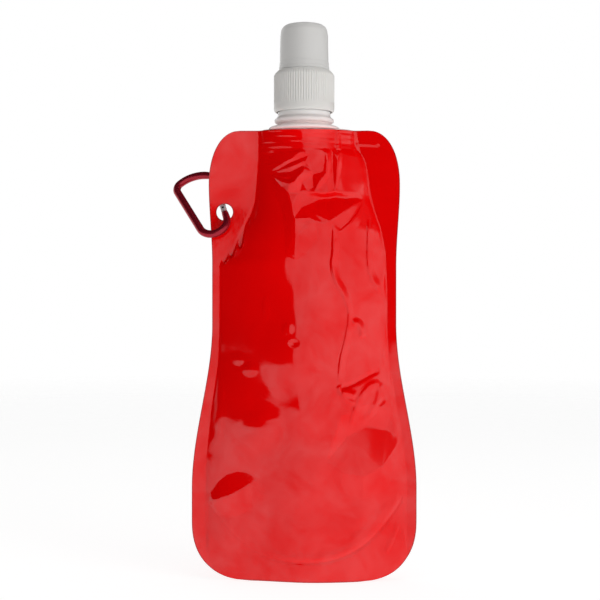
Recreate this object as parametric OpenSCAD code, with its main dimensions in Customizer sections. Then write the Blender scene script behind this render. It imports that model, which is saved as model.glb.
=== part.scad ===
// Folding water bottle: a gusseted film bag with a welded spout, a screw cap with a
// push-pull nozzle and dust cover, and a small carabiner through the corner of the bag.
// Origin: centre of the footprint, on the surface the bag stands on. +Z up, front is -Y.

/* [Bag] */
// Height of the bag from its base to its top edge
bag_h = 225.4; // [215:0.1:240]
// Half width of the bag at the hips
hip_half_w = 56.5; // [54:0.5:60]
// Half width of the bag at the waist
waist_half_w = 46.2; // [44:0.1:48]
// Half width of the bag at the shoulders
shoulder_half_w = 48; // [46.5:0.5:50]
// Largest depth of one panel, in front of the middle plane
belly_depth = 17.5; // [15:0.5:19]
// Thickness of one film
film_t = 0.3; // [0.25:0.05:0.4]
// Width of the welded side seam
seam_w = 4.8; // [4:0.1:6]
// Height of the line that the empty bag folds along
fold_z = 112; // [105:1:120]

/* [Hanging hole] */
// Distance of the hanging hole from the middle of the bag
hole_x = 40; // [39.5:0.1:40.5]
// Height of the hanging hole
hole_z = 184.5; // [180:0.5:190]
// Radius of the hanging hole
hole_r = 4.25; // [4:0.05:4.5]

/* [Spout] */
// Outer radius of the neck, a 28 mm finish
neck_r = 12.5; // [12.4:0.05:12.6]
// Radius of the bore through the neck
neck_bore_r = 10.4; // [9:0.1:10.6]
// Radius of the flange above the bag
flange_r = 17; // [16:0.1:17.5]
// Lead of the neck thread
thread_lead = 3.18; // [3:0.01:3.3]
// Number of turns of the neck thread
thread_turns = 2; // [1.5:0.25:2]

/* [Closure] */
// Outer radius of the screw cap, over its ribs
cap_r = 15.25; // [15:0.05:16]
// Number of ribs round the screw cap
cap_ribs = 72; // [48:1:90]
// Outer radius of the dust cover at its foot
cover_r = 12.5; // [12.2:0.1:12.8]
// Height of the dust cover
cover_h = 24; // [23.5:0.5:26]

/* [Carabiner] */
// Radius of the carabiner's wire
wire_r = 1.7; // [1.5:0.05:1.75]
// Angle between the carabiner's plane and the film
carabiner_tilt = 35; // [33:1:40]
// Turn of the gate's line away from upright, seen from the front
carabiner_lean = 20; // [15:1:25]

/* [Hidden] */
$fn = 64;

// Bag outline and depth
hip_z = 38;
waist_low_z = 130;
waist_high_z = 150;
shoulder_z = 195;
base_half_w = 35;          // half width of the straight stretch of the base
base_corner_h = 30;
top_half_w = 34;           // half width of the straight stretch of the top edge
belly_z = 60;
base_depth = 16;
canoe_half = 24.5;         // half length of the spout's welded foot
canoe_depth = 11.5;        // half thickness of the space for the spout's foot
canoe_h = 10;
shoulder_weld_z = 158;     // where the corner welds start to widen
fold_gap = 0.4;
columns = 12;              // facets across one panel between its seams
seam_flange = 1;           // least flat edge kept where the outline turns in

// Gusset
arc_centre_z = 10;         // height of the curved weld at the middle
arc_rise = 29.5;
arc_reach = 48.4;
gusset_half = 49.5;
gusset_arch = 13;
weld_gap = 0.3;            // modelled gap between two welded faces

// Neck, from the bag's top edge upwards
flange_z = bag_h + 0.4;
flange_t = 1.7;
neck_top_z = flange_z + 24.7;
bead_z = flange_z + 4.7;
bead_r = 14.7;
thread_z = flange_z + 14.4;
thread_depth = 1.15;
thread_steps = 24;         // facets in one turn

// Cap
cap_z = flange_z + 8.7;
cap_bore_r = 13.95;
liner_t = 1;
deck_z = neck_top_z + liner_t;
deck_t = 2;
cap_top_z = deck_z + 4.2;
rib_low_z = cap_z + 5.1;
rib_high_z = cap_top_z - 5;
rib_depth = 0.32;
tower_r = 6;
tower_bore_r = 4.4;
tower_h = 14.5;
tower_top_z = deck_z + deck_t + tower_h;
plug_r = 2.25;
spigot_r = 10.9;

// Nozzle, from the cap's top
nozzle_z = cap_top_z - 0.9;
nozzle_top_z = nozzle_z + 19.1;
nozzle_travel = 4;
slide_gap = 0.06;
orifice_r = plug_r + slide_gap;

// Carabiner, in its own plane: the gate's line is x = 0 and the middle of the hole is z = 0
bow_r = 16;
bow = [-10.5, 13];
foot_bow_r = 7.2;
foot_bow = [-7.2, -3.6];
corner_r = 4.5;
spine_lean = 10.8;
pivot_z = 2;
arm_top = pivot_z - 2.3;
nose_r = 4;
nose_z = bow[1] + sqrt(pow(bow_r - nose_r, 2) - pow(nose_r + bow[0], 2));
gate_top = nose_z - 0.4;
latch_z = nose_z - 2.2;
tongue_t = 1.2;
slot_w = 1.5;
pin_r = 0.5;
gate_r = 1.65;
gate_bore_r = 0.95;
gate_bore_top = 12.5;

// Half the difference between the carabiner's reach and the hip's, so that the origin is
// the middle of the footprint
axis_x = 5.2;

// A coloured part, with the bottle's axis moved off the origin by axis_x
module paint(c) {
    translate([axis_x, 0, 0]) color(c) children();
}

// ---------- shape of the bag ----------

// A smooth step from a at p to b at q
function ease(x, p, q, a, b) =
    let (t = min(1, max(0, (x - p) / (q - p)))) a + (b - a) * (1 - cos(180 * t)) / 2;

// Half width of the outline without its rounded corners
function side_w(z) =
    z < waist_high_z ? ease(z, hip_z, waist_low_z, hip_half_w, waist_half_w)
                     : ease(z, waist_high_z, shoulder_z, waist_half_w, shoulder_half_w);

// Half width of the outline
function outline_w(z) =
    z < base_corner_h
        ? base_half_w + (side_w(z) - base_half_w)
            * sqrt(max(0, 1 - pow((base_corner_h - z) / base_corner_h, 2)))
    : z > shoulder_z
        ? top_half_w + (side_w(z) - top_half_w)
            * sqrt(max(0, 1 - pow((z - shoulder_z) / (bag_h - shoulder_z), 2)))
    : side_w(z);

// Half width of the space between the welds
function weld_w(z) =
    ease(z, shoulder_weld_z, bag_h - canoe_h, side_w(z) - seam_w, canoe_half);

// Depth of one panel on the middle line
function middle_depth(z) =
    z < belly_z
        ? belly_depth - (belly_depth - base_depth) * pow((belly_z - z) / belly_z, 2)
        : ease(pow(min(1, (z - belly_z) / (bag_h - canoe_h - belly_z)), 1.6), 0, 1,
               belly_depth, canoe_depth);

// Sagitta of a circular arc with half chord b and rise d, at x
function lens(x, b, d) =
    abs(x) >= b ? 0 : let (r = (b * b + d * d) / (2 * d)) sqrt(r * r - x * x) - (r - d);

function depth(x, z) = lens(x, weld_w(z), middle_depth(z));

// Places across one row: both edges, and even steps between the seams
function row_x(z) =
    let (e = min(weld_w(z), outline_w(z) - seam_flange))
    concat([-outline_w(z)], [for (i = [0 : columns]) e * (2 * i / columns - 1)], [outline_w(z)]);

// Faces of a closed sheet between two grids of the same size, outer grid first
function sheet_faces(nu, nv) =
    let (n = nu * nv)
    concat(
        [for (v = [0 : nv - 2], u = [0 : nu - 2]) let (a = v * nu + u) [a, a + nu, a + nu + 1]],
        [for (v = [0 : nv - 2], u = [0 : nu - 2]) let (a = v * nu + u) [a, a + nu + 1, a + 1]],
        [for (v = [0 : nv - 2], u = [0 : nu - 2]) let (a = n + v * nu + u) [a, a + nu + 1, a + nu]],
        [for (v = [0 : nv - 2], u = [0 : nu - 2]) let (a = n + v * nu + u) [a, a + 1, a + nu + 1]],
        [for (u = [0 : nu - 2]) [u, u + 1, n + u + 1]],
        [for (u = [0 : nu - 2]) [u, n + u + 1, n + u]],
        [for (u = [0 : nu - 2]) let (a = n - nu + u) [a, n + a + 1, a + 1]],
        [for (u = [0 : nu - 2]) let (a = n - nu + u) [a, n + a, n + a + 1]],
        [for (v = [0 : nv - 2]) let (a = v * nu) [a, n + a, n + a + nu]],
        [for (v = [0 : nv - 2]) let (a = v * nu) [a, n + a + nu, a + nu]],
        [for (v = [0 : nv - 2]) let (a = v * nu + nu - 1) [a, n + a + nu, n + a]],
        [for (v = [0 : nv - 2]) let (a = v * nu + nu - 1) [a, a + nu, n + a + nu]]
    );

// One panel between its rows
module panel(rows) {
    outer = [for (z = rows, x = row_x(z)) [x, -depth(x, z) - film_t, z]];
    inner = [for (z = rows, x = row_x(z)) [x, -depth(x, z), z]];
    polyhedron(concat(outer, inner), sheet_faces(columns + 3, len(rows)), convexity = 6);
}

lower_rows = concat(
    [for (t = [0, 0.05, 0.15, 0.3, 0.5, 0.75, 1]) base_corner_h * t],
    [for (i = [1 : 6]) base_corner_h + (fold_z - fold_gap / 2 - base_corner_h) * i / 6]
);
upper_rows = concat(
    [for (i = [0 : 5]) fold_z + fold_gap / 2 + (shoulder_z - fold_z - fold_gap / 2) * i / 6],
    [for (t = [0, 0.35, 0.6, 0.8, 0.93, 1]) shoulder_z + (bag_h - shoulder_z) * t]
);

module upper_panel() {
    difference() {
        panel(upper_rows);
        translate([-hole_x, 0, hole_z]) rotate([90, 0, 0])
            cylinder(r = hole_r, h = 4 * film_t, center = true);
    }
}

module lower_panel() {
    panel(lower_rows);
}

module front_film_upper() { paint("red") upper_panel(); }
module front_film_lower() { paint("red") lower_panel(); }
module rear_film_upper() { paint("red") mirror([0, 1, 0]) upper_panel(); }
module rear_film_lower() { paint("red") mirror([0, 1, 0]) lower_panel(); }

// ---------- bottom gusset ----------

// Height of the bag's bottom edge at x
function edge_z(x) =
    let (t = max(0, (abs(x) - base_half_w) / (hip_half_w - base_half_w)))
    base_corner_h * (1 - sqrt(1 - t * t));

// Height of the curved weld between panel and gusset at x
function arc_z(x) = arc_centre_z + arc_rise * pow(abs(x) / arc_reach, 2.5);

function arch_h(x) = 3 + gusset_arch * (1 - pow(x / gusset_half, 2));

// One section of the gusset: up inside the front panel, over, and down inside the rear panel
function gusset_section(x, inset) =
    let (lift = edge_z(x), top = arc_z(x))
    concat(
        [for (t = [0, 0.5]) let (z = lift + (top - lift) * t)
            [x, -(depth(x, z) - weld_gap - inset), z]],
        [for (a = [0 : 22.5 : 180])
            [x, -(depth(x, top) - weld_gap - inset) * cos(a), top + (arch_h(x) - inset) * sin(a)]],
        [for (t = [0.5, 0]) let (z = lift + (top - lift) * t)
            [x, depth(x, z) - weld_gap - inset, z]]
    );

module bottom_gusset() {
    steps = 14;
    xs = [for (i = [0 : steps]) gusset_half * (2 * i / steps - 1)];
    top = [for (x = xs, p = gusset_section(x, 0)) p];
    under = [for (x = xs, p = gusset_section(x, film_t)) p];
    paint("firebrick")
        polyhedron(concat(under, top), sheet_faces(13, len(xs)), convexity = 6);
}

// ---------- spout ----------

// Outline of the spout's foot: two arcs that meet in sharp ends
function foot_outline(half, rise, steps = 16) = concat(
    [for (i = [0 : steps]) let (x = half * (2 * i / steps - 1)) [x, -lens(x, half, rise)]],
    [for (i = [1 : steps - 1]) let (x = half * (1 - 2 * i / steps)) [x, lens(x, half, rise)]]
);

// Faces of a closed tube swept through rings of points
function sweep_faces(rings, sides) = concat(
    [for (i = [0 : rings - 2], k = [0 : sides - 1])
        let (a = i * sides + k, b = i * sides + (k + 1) % sides)
        each [[a, b + sides, a + sides], [a, b, b + sides]]],
    [for (k = [1 : sides - 2]) [0, k + 1, k]],
    [for (k = [1 : sides - 2]) let (e = (rings - 1) * sides) [e, e + k, e + k + 1]]
);

// A helical ridge that starts at height z: inner and outer radius, with the half widths there
module helix_ridge(inner, inner_half, outer, outer_half, z) {
    ring = [[inner, -inner_half], [outer, -outer_half], [outer, outer_half], [inner, inner_half]];
    rings = thread_turns * thread_steps + 1;
    points = [for (i = [0 : rings - 1], p = ring)
        let (a = 360 * i / thread_steps)
        [p[0] * cos(a), p[0] * sin(a), z + thread_lead * i / thread_steps + p[1]]];
    polyhedron(points, sweep_faces(rings, 4), convexity = 8);
}

module spout() {
    ribs = 4;
    rib_h = canoe_h / (2 * ribs - 1);
    paint("white") difference() {
        union() {
            for (i = [0 : 2 * ribs - 2]) let (inset = i % 2 == 0 ? 0 : 0.6)
                translate([0, 0, bag_h - canoe_h + i * rib_h])
                    linear_extrude(rib_h + (i < 2 * ribs - 2 ? 0.05 : 0))
                    polygon(foot_outline(canoe_half - 1 - 2 * inset, canoe_depth - 0.4 - inset));
            translate([0, 0, bag_h - 0.1]) cylinder(r = neck_r, h = neck_top_z - bag_h + 0.1);
            translate([0, 0, flange_z]) rotate_extrude()
                polygon([[0, 0], [flange_r - 0.4, 0], [flange_r, 0.4], [flange_r, flange_t - 0.4],
                    [flange_r - 0.4, flange_t], [0, flange_t]]);
            translate([0, 0, bead_z]) rotate_extrude()
                polygon([[0, -1.6], [neck_r, -1.6], [bead_r - 0.3, -0.7], [bead_r, -0.1],
                    [bead_r - 0.4, 0.7], [neck_r, 1.3], [0, 1.3]]);
            helix_ridge(neck_r - 0.3, 0.95, neck_r + thread_depth, 0.45, thread_z);
        }
        translate([0, 0, bag_h - canoe_h - 1]) cylinder(r = neck_bore_r, h = 50);
    }
}

// ---------- closure ----------

module cap_liner() {
    paint("gainsboro") translate([0, 0, neck_top_z + 0.02]) difference() {
        cylinder(r = cap_bore_r - 0.25, h = liner_t - 0.04);
        translate([0, 0, -1]) cylinder(r = neck_bore_r + 0.2, h = liner_t + 2);
    }
}

// Outline of the ribbed wall
function rib_outline() = [for (i = [0 : cap_ribs - 1], k = [0 : 3])
    let (a = 360 * (i + [0, 0.16, 0.5, 0.66][k]) / cap_ribs, r = cap_r - (k < 2 ? 0.06 : 0.06 + rib_depth))
    [r * cos(a), r * sin(a)]];

module cap_shell() {
    translate([0, 0, cap_z]) rotate_extrude() polygon([
        [0, 0], [cap_r - 0.7, 0], [cap_r - 0.1, 0.7], [cap_r - 0.1, 2.6],
        [cap_r, 2.9], [cap_r, rib_low_z - cap_z], [0, rib_low_z - cap_z]
    ]);
    translate([0, 0, rib_low_z - 0.2]) linear_extrude(rib_high_z - rib_low_z + 0.4)
        polygon(rib_outline());
    translate([0, 0, rib_high_z]) rotate_extrude() polygon([
        [0, 0], [cap_r, 0], [cap_r - 0.2, 1.4], [cap_r - 0.9, 3.1], [cap_r - 2.3, 5],
        [0, 5]
    ]);
}

module screw_cap() {
    paint("whitesmoke") {
        difference() {
            union() {
                cap_shell();
                translate([0, 0, cap_top_z - 0.1]) cylinder(r = spigot_r, h = 2.3);
                translate([0, 0, cap_top_z + 1.1]) rotate_extrude()
                    polygon([[0, -0.4], [spigot_r, -0.4], [spigot_r + 0.25, 0], [spigot_r, 0.4], [0, 0.4]]);
            }
            translate([0, 0, cap_z - 1]) cylinder(r = cap_bore_r, h = deck_z - cap_z + 1);
            translate([0, 0, deck_z + deck_t]) cylinder(r = spigot_r - 1.6, h = 10);
            translate([0, 0, deck_z - 1]) cylinder(r = tower_bore_r + 0.8, h = 6);
        }
        difference() {
            union() {
                translate([0, 0, deck_z + 0.6]) cylinder(r = tower_r, h = tower_top_z - deck_z - 0.6);
                translate([0, 0, tower_top_z - 1.1]) rotate_extrude()
                    polygon([[0, -0.4], [tower_r, -0.4], [tower_r + 0.2, -0.1], [tower_r + 0.2, 0.1],
                        [tower_r, 0.4], [0, 0.4]]);
            }
            translate([0, 0, deck_z]) cylinder(r = tower_bore_r, h = 30);
        }
        translate([0, 0, tower_top_z - 2]) {
            cylinder(r = plug_r, h = 7);
            for (a = [0, 120, 240]) rotate(a) translate([0, -0.6, 0]) cube([tower_r - 0.5, 1.2, 1.9]);
        }
        helix_ridge(cap_bore_r - 1, 0.4, cap_bore_r + 0.3, 0.85, thread_z - thread_lead / 2);
    }
}

module pull_nozzle() {
    h = nozzle_top_z - nozzle_z;
    paint("white") translate([0, 0, nozzle_z]) difference() {
        rotate_extrude() polygon([
            [0, 0], [8.1, 0], [8.5, 0.4], [8.5, 2.6], [8.1, 3], [7.5, 3.6], [7.3, 11.5],
            [7.6, 12.2], [8.6, 13], [8.8, 13.6], [8.8, 15.2], [8.3, 16.6], [7, 18.1],
            [5.2, h - 0.15], [4.4, h], [0, h]
        ]);
        translate([0, 0, -1]) cylinder(r = tower_r + slide_gap, h = 16.4);
        translate([0, 0, tower_top_z - nozzle_z - 1.7 - nozzle_travel])
            cylinder(r = tower_r + 0.3, h = nozzle_travel + 1.2);
        translate([0, 0, 10]) cylinder(r = orifice_r, h = h);
    }
}

module dust_cover() {
    wall = 0.95;
    top = cover_r - 0.45;
    paint([0.92, 0.92, 0.93, 0.6]) translate([0, 0, cap_top_z + 0.05]) difference() {
        rotate_extrude() polygon(concat(
            [[0, 0], [cover_r + 0.1, 0], [cover_r + 0.1, 2.2], [cover_r - 0.1, 2.6]],
            [for (a = [0 : 15 : 75]) [top - 4.3 + 4.3 * cos(a), cover_h - 5.2 + 4.3 * sin(a)]],
            [[5.5, cover_h - 0.35], [0, cover_h]]
        ));
        rotate_extrude() polygon(concat(
            [[0, -1], [spigot_r + 0.3, -1], [spigot_r + 0.3, 2.6], [cover_r - 0.2 - wall, 3.2]],
            [for (a = [0 : 15 : 75])
                [top - 4.3 + (4.3 - wall) * cos(a), cover_h - 5.2 + (4.3 - wall) * sin(a)]],
            [[5.5, cover_h - 0.35 - wall], [0, cover_h - wall]]
        ));
    }
}

// ---------- carabiner ----------

// From the carabiner's own plane to its place through the hanging hole
module in_place() {
    translate([-hole_x, 0, hole_z]) rotate([0, -carabiner_lean, 0]) rotate([-carabiner_tilt, 0, 0])
        children();
}

spine_n = [cos(spine_lean), sin(spine_lean)];
spine_foot = foot_bow - foot_bow_r * spine_n;
// Centre of the corner that joins the spine and the big bow
function corner_centre() =
    let (
        along = [-sin(spine_lean), cos(spine_lean)],
        start = spine_foot + corner_r * spine_n - bow,
        half_b = start * along,
        c = start * start - pow(bow_r - corner_r, 2)
    )
    bow + start + (-half_b + sqrt(half_b * half_b - c)) * along;

// Points along an arc of the wire: x, z and the direction away from the arc's centre
function wire_arc(c, r, from, to, steps) = [for (i = [0 : steps])
    let (a = from + (to - from) * i / steps) [c[0] + r * cos(a), c[1] + r * sin(a), a]];

function after_first(list) = [for (i = [1 : len(list) - 1]) list[i]];

module wire() {
    sides = 20;
    corner = corner_centre();
    bow_turn = atan2(corner[1] - bow[1], corner[0] - bow[0]);
    nose_turn = acos((-nose_r - bow[0]) / (bow_r - nose_r));
    path = concat(
        [[0, arm_top, 0]],
        wire_arc(foot_bow, foot_bow_r, 0, spine_lean - 180, 16),
        wire_arc(corner, corner_r, spine_lean + 180, bow_turn, 8),
        after_first(wire_arc(bow, bow_r, bow_turn, nose_turn, 12)),
        after_first(wire_arc([-nose_r, nose_z], nose_r, nose_turn, 0, 5))
    );
    points = [for (p = path, k = [0 : sides - 1])
        let (b = 360 * k / sides, r = wire_r * cos(b))
        [p[0] + r * cos(p[2]), wire_r * sin(b), p[1] + r * sin(p[2])]];
    polyhedron(points, sweep_faces(len(path), sides), convexity = 6);
}

module carabiner_body() {
    tab = 1.45;
    paint("darkred") in_place() difference() {
        union() {
            wire();
            // Tongue that carries the pivot
            translate([-tab, -tongue_t / 2, arm_top - 1]) cube([2 * tab, tongue_t, pivot_z - arm_top + 1]);
            translate([0, 0, pivot_z]) rotate([90, 0, 0]) cylinder(r = tab, h = tongue_t, center = true);
            // Nose that catches the latch pin
            translate([-tab, -tongue_t / 2, latch_z - 1.6]) cube([2 * tab, tongue_t, nose_z - latch_z + 2.6]);
        }
        translate([0, 0, pivot_z]) rotate([90, 0, 0]) cylinder(r = pin_r + 0.01, h = 4, center = true);
        translate([-3, -1, latch_z - 0.75]) cube([3.75, 2, 1.5]);
    }
}

module carabiner_gate() {
    paint("silver") in_place() difference() {
        union() {
            translate([0, 0, pivot_z]) cylinder(r = gate_r, h = gate_top - pivot_z);
            intersection() {
                cylinder(r = gate_r, h = pivot_z + 0.1);
                translate([0, 0, pivot_z]) rotate([90, 0, 0]) cylinder(r = 2, h = 5, center = true);
            }
        }
        translate([0, 0, -1]) cylinder(r = gate_bore_r, h = gate_bore_top + 1);
        translate([-3, -slot_w / 2, -1]) cube([6, slot_w, pivot_z + 3.2]);
        translate([-3, -slot_w / 2, latch_z - 2.3]) cube([6, slot_w, 6]);
        translate([0, 0, pivot_z]) rotate([90, 0, 0]) cylinder(r = pin_r + 0.04, h = 5, center = true);
        translate([0, 0, latch_z]) rotate([90, 0, 0]) cylinder(r = pin_r + 0.01, h = 5, center = true);
    }
}

module cross_pin(z) {
    paint("gray") in_place() translate([0, 0, z]) rotate([90, 0, 0])
        cylinder(r = pin_r, h = 2 * gate_r + 0.16, center = true);
}

module gate_pivot_pin() { cross_pin(pivot_z); }
module gate_latch_pin() { cross_pin(latch_z); }

module gate_plunger() {
    paint("gray") in_place() translate([0, 0, pivot_z + 1.75]) {
        cylinder(r = gate_bore_r - 0.12, h = 1);
        cylinder(r = 0.32, h = 2.4);
    }
}

module gate_spring() {
    low = pivot_z + 2.95;
    high = gate_bore_top - 0.25;
    turns = 9;
    per_turn = 12;
    sides = 6;
    wire = 0.15;
    coil_r = gate_bore_r - 0.12 - wire;
    rings = turns * per_turn + 1;
    points = [for (i = [0 : rings - 1], k = [0 : sides - 1])
        let (
            a = 360 * i / per_turn,
            b = 360 * k / sides,
            r = coil_r + wire * cos(b),
            z = low + wire + (high - low - 2 * wire) * i / (rings - 1)
        )
        [r * cos(a), r * sin(a), z + wire * sin(b)]];
    paint("lightgray") in_place() polyhedron(points, sweep_faces(rings, sides), convexity = 10);
}

front_film_upper();
front_film_lower();
rear_film_upper();
rear_film_lower();
bottom_gusset();
spout();
cap_liner();
screw_cap();
pull_nozzle();
dust_cover();
carabiner_body();
carabiner_gate();
gate_pivot_pin();
gate_latch_pin();
gate_spring();
gate_plunger();
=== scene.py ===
import bpy
import bmesh
import math
import numpy as np
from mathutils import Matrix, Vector
from mathutils.geometry import delaunay_2d_cdt


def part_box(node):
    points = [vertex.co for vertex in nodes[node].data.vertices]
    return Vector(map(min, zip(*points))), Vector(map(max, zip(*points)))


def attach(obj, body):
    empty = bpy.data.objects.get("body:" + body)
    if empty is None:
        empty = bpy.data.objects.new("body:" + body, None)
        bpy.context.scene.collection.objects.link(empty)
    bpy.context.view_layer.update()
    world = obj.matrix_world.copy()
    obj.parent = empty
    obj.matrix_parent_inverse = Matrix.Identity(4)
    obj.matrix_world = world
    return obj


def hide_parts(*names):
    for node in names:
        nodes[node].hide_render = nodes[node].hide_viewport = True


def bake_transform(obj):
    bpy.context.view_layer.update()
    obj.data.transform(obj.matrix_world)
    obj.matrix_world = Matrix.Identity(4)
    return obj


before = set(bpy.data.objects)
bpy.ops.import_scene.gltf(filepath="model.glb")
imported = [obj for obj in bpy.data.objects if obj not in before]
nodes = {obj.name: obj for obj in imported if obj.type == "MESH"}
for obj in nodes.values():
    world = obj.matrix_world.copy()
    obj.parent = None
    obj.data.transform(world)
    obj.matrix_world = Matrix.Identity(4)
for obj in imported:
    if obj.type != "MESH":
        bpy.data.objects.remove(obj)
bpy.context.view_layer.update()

# Lengths are in mm, except in the materials and on the stage, where they are in metres.
# Where nothing else is said, x is measured from the bottle's axis and z from the floor.
MM = 0.001
spout_low, spout_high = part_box("spout")
AX = (spout_low[0] + spout_high[0]) / 2 / MM  # the bottle's axis, in the frame
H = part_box("front_film_upper")[1][2] / MM  # upper edge of the bag
WALL = 0.3  # thickness of the film


# ---------- helpers ----------

def add_object(name, data):
    ob = bpy.data.objects.new(name, data)
    bpy.context.scene.collection.objects.link(ob)
    return ob


def mesh_object(name, verts, faces, smooth=True, sharp=None):
    """A mesh from points in mm. Edges over sharp degrees stay sharp."""
    me = bpy.data.meshes.new(name)
    me.from_pydata((np.asarray(verts, float) * MM).tolist(), [], [list(map(int, f)) for f in faces])
    me.update()
    ob = add_object(name, me)
    me.polygons.foreach_set("use_smooth", [smooth] * len(me.polygons))
    if sharp is not None:
        me.set_sharp_from_angle(angle=math.radians(sharp))
    return ob


def attribute(ob, name, values):
    """Stores one number per point, for the material to read."""
    a = ob.data.attributes.new(name, "FLOAT", "POINT")
    a.data.foreach_set("value", np.asarray(values, np.float32))


def step(x, p, q):
    """A smooth step from 0 at p to 1 at q."""
    t = np.clip((x - p) / (q - p), 0, 1)
    return t * t * (3 - 2 * t)


def mix(a, b, t):
    return a + (b - a) * t


class Noise:
    """Smooth noise made of waves between two wavelengths, the same on each run."""

    def __init__(self, seed, waves, long, short):
        r = np.random.default_rng(seed)
        self.k = []
        for i in range(waves):
            wl = long * (short / long) ** (i / max(1, waves - 1))
            a = r.uniform(0, 2 * math.pi)
            self.k.append((math.cos(a) * 2 * math.pi / wl, math.sin(a) * 2 * math.pi / wl,
                           r.uniform(0, 2 * math.pi), (wl / long) ** 0.8))
        self.total = math.sqrt(sum(c[3] ** 2 for c in self.k) / 2)

    def __call__(self, x, z):
        return sum(c[3] * np.sin(c[0] * x + c[1] * z + c[2]) for c in self.k) / self.total


def rounded(profile, r=0.25, steps=3):
    """A profile with rounded corners. A point is (radius, height) or (radius, height, corner radius)."""
    out = []
    for i, p in enumerate(profile):
        corner_r = p[2] if len(p) > 2 else r
        if i in (0, len(profile) - 1) or corner_r == 0:
            out.append((p[0], p[1]))
            continue
        a, b, c = (np.array(profile[j][:2], float) for j in (i - 1, i, i + 1))
        u, v = a - b, c - b
        lu, lv = np.linalg.norm(u), np.linalg.norm(v)
        d = min(corner_r, lu * 0.45, lv * 0.45)
        start, end = b + u / lu * d, b + v / lv * d
        for k in range(steps + 1):
            t = k / steps
            q = (1 - t) ** 2 * start + 2 * t * (1 - t) * b + t * t * end
            out.append((q[0], q[1]))
    return out


def lathe(name, profile, z0, segments=96, radius=None, sharp=40):
    """Turns a closed profile round the bottle's axis. radius(r, z, angle) may change it."""
    pr = np.array(profile, float)
    n, s = len(pr), segments
    R = np.repeat(pr[:, :1], s, 1)
    Z = np.repeat(pr[:, 1:2], s, 1)
    A = np.repeat((np.arange(s) * 2 * math.pi / s)[None, :], n, 0)
    if radius is not None:
        R = radius(R, Z, A)
    v = np.stack([AX + R * np.cos(A), R * np.sin(A), Z + z0], -1).reshape(-1, 3)
    i = np.arange(n)[:, None]
    j = np.arange(s)[None, :]
    i2, j2 = (i + 1) % n, (j + 1) % s
    f = np.stack([i * s + j, i * s + j2, i2 * s + j2, i2 * s + j], -1).reshape(-1, 4)
    ob = mesh_object(name, v, f, sharp=sharp)
    tidy(ob)
    return ob


def tube(name, rings, smooth=True, sharp=50):
    """A closed tube through rings that all have the same number of points."""
    rings = np.asarray(rings, float)
    n, s = rings.shape[:2]
    f = [(i * s + k, i * s + (k + 1) % s, (i + 1) * s + (k + 1) % s, (i + 1) * s + k)
         for i in range(n - 1) for k in range(s)]
    f += [tuple(range(s - 1, -1, -1)), tuple((n - 1) * s + k for k in range(s))]
    ob = mesh_object(name, rings.reshape(-1, 3), f, smooth, sharp)
    tidy(ob)
    return ob


def sheet(name, upper, lower):
    """A closed sheet between two grids of points with the same rows and columns."""
    rows, cols = upper.shape[:2]
    n = rows * cols
    a = np.arange(rows - 1)[:, None] * cols + np.arange(cols - 1)[None, :]
    quads = np.stack([a, a + 1, a + cols + 1, a + cols], -1).reshape(-1, 4)
    last = (rows - 1) * cols
    loop = np.concatenate([np.arange(cols), cols - 1 + cols * np.arange(1, rows),
                           last + np.arange(cols - 2, -1, -1), cols * np.arange(rows - 2, 0, -1)])
    after = np.roll(loop, -1)
    rim = np.stack([loop, loop + n, after + n, after], -1)
    v = np.concatenate([upper.reshape(-1, 3), lower.reshape(-1, 3)])
    ob = mesh_object(name, v, np.concatenate([quads, quads[:, ::-1] + n, rim]), sharp=60)
    tidy(ob, 2e-6)
    return ob


def tidy(ob, dist=1e-6):
    """Merges doubled points, drops empty faces and turns all faces outwards."""
    bm = bmesh.new()
    bm.from_mesh(ob.data)
    bmesh.ops.remove_doubles(bm, verts=bm.verts, dist=dist)
    bmesh.ops.dissolve_degenerate(bm, edges=bm.edges, dist=dist)
    bmesh.ops.recalc_face_normals(bm, faces=bm.faces)
    bm.to_mesh(ob.data)
    bm.free()


def join(name, objs):
    """One piece made of several closed meshes."""
    bm = bmesh.new()
    for o in objs:
        bm.from_mesh(o.data)
    me = bpy.data.meshes.new(name)
    bm.to_mesh(me)
    bm.free()
    for o in objs:
        bpy.data.objects.remove(o)
    return add_object(name, me)


def bore(ob, radius, depth, place, rotation=(0, 0, 0)):
    """Cuts a round hole. place is the middle of the cutter, in the frame's own axes."""
    bpy.ops.mesh.primitive_cylinder_add(vertices=96, radius=radius * MM, depth=depth * MM,
                                        location=[c * MM for c in place], rotation=rotation)
    cutter = bpy.context.object
    mod = ob.modifiers.new("bore", "BOOLEAN")
    mod.object, mod.operation, mod.solver = cutter, "DIFFERENCE", "EXACT"
    dg = bpy.context.evaluated_depsgraph_get()
    me = bpy.data.meshes.new_from_object(ob.evaluated_get(dg))
    ob.modifiers.clear()
    ob.data = me
    bpy.data.objects.remove(cutter)


def thread(name, r0, r1, h0, h1, z, turns, lead=3.18, per=72):
    """A ridge from radius r0 and half width h0 to radius r1 and half width h1, faded at both ends."""
    n = turns * per + 1
    t = np.arange(n)
    fade = np.minimum(1, np.minimum(t, n - 1 - t) / (per * 0.12))
    a = t * 2 * math.pi / per
    middle = z + lead * t / per
    crest = mix(r0 + (r1 - r0) * 0.1, r1, fade)
    flank = mix(r0, crest, 0.85)
    root = np.full(n, r0)
    half = [(root, h0), (flank, h1 * 1.15), (crest, h1 * 0.6)]
    ring = [(r, -h) for r, h in half] + half[::-1]
    points = [np.stack([AX + r * np.cos(a), r * np.sin(a), middle + h], -1) for r, h in ring]
    return tube(name, np.stack(points, 1))


# ---------- materials ----------

def node_material(name):
    m = bpy.data.materials.new(name)
    m.use_nodes = True
    nt = m.node_tree
    nt.nodes.clear()
    out = nt.nodes.new("ShaderNodeOutputMaterial")
    bs = nt.nodes.new("ShaderNodeBsdfPrincipled")
    nt.links.new(bs.outputs[0], out.inputs[0])
    return m, nt, bs


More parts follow.
